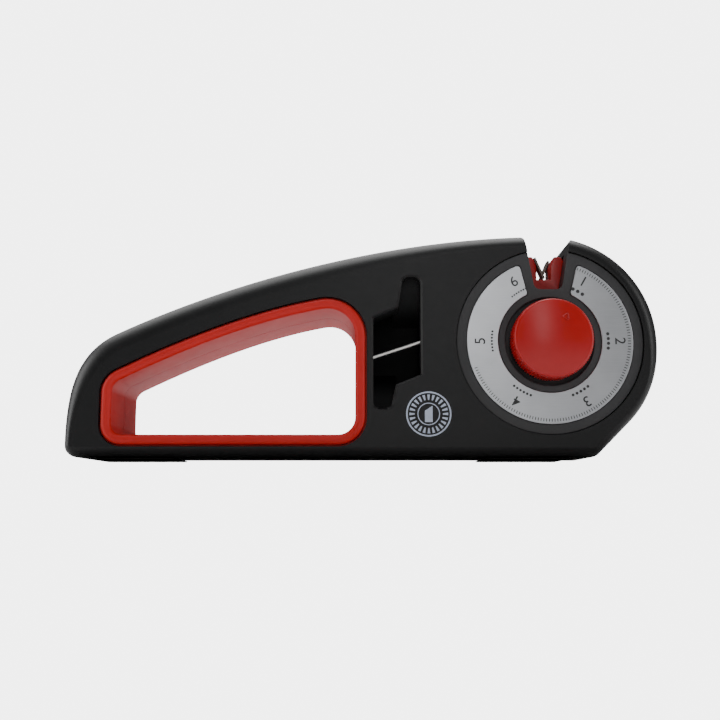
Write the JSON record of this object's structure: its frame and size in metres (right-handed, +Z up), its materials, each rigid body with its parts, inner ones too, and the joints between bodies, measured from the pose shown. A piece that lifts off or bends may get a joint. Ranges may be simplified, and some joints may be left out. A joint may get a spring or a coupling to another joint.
{
  "type": "pull-through knife and scissors sharpener",
  "caption": "Hand-held sharpener with a carrying grip, a scissor window, and a dial that turns abrasive stations under a knife notch.",
  "frame": {"origin": "centre of the base, on the surface that the feet stand on, midway along the length and the depth", "axes": "+X along the body from the grip towards the dial, -Y out of the dial face, +Z up"},
  "size_m": [0.216, 0.0522, 0.0825],
  "materials": {
    "black_plastic": "satin moulded, fine grain",
    "dish_plastic": "matt, grained",
    "red_grip": "soft satin elastomer",
    "red_gloss": "glossy",
    "brushed_plate": "brushed, printed",
    "steel": "ground",
    "dark_steel": "sintered carbide, ground",
    "diamond_coat": "diamond-coated",
    "ceramic_stone": "fine unglazed",
    "bush_bronze": "plain bearing",
    "foot_rubber": "matt"
  },
  "bodies": {
    "body": {"front_housing": "black_plastic", "rear_housing": "black_plastic", "grip_liner_front": "red_grip", "grip_liner_rear": "red_grip", "heel_pad": "foot_rubber", "toe_pad": "foot_rubber", "dial_cover": "dish_plastic", "dial_plate": "brushed_plate", "scissor_guide": "black_plastic", "scissor_rod": "steel", "front_bush": "bush_bronze", "rear_bush": "bush_bronze", "detent_spring": "steel", "case_screw_heel": "steel", "case_screw_bar": "steel", "case_screw_shoulder": "steel", "case_screw_waist": "steel", "case_screw_crest": "steel", "case_screw_toe": "steel"},
    "turret": {"selector_knob": "red_gloss", "turret_shaft": "steel", "turret_hub": "black_plastic", "turret_washer": "steel", "holder_coarse": "red_gloss", "blade_coarse_left": "dark_steel", "blade_coarse_right": "dark_steel", "holder_medium": "red_gloss", "blade_medium_left": "diamond_coat", "blade_medium_right": "diamond_coat", "holder_fine": "red_gloss", "blade_fine_left": "diamond_coat", "blade_fine_right": "diamond_coat", "holder_serrated": "red_gloss", "blade_serrated_left": "ceramic_stone", "blade_serrated_right": "ceramic_stone", "holder_ceramic": "red_gloss", "blade_ceramic_left": "ceramic_stone", "blade_ceramic_right": "ceramic_stone", "holder_single_edge": "red_gloss", "blade_single_edge_left": "dark_steel", "blade_single_edge_right": "dark_steel"}
  },
  "joints": [
    {"name": "turret_spin", "type": "hinge", "parent": "body", "child": "turret", "pos_m": [0.0677, 0, 0.0424], "axis": [0, 1, 0], "continuous": true, "deforming": ["detent_spring"]}
  ]
}
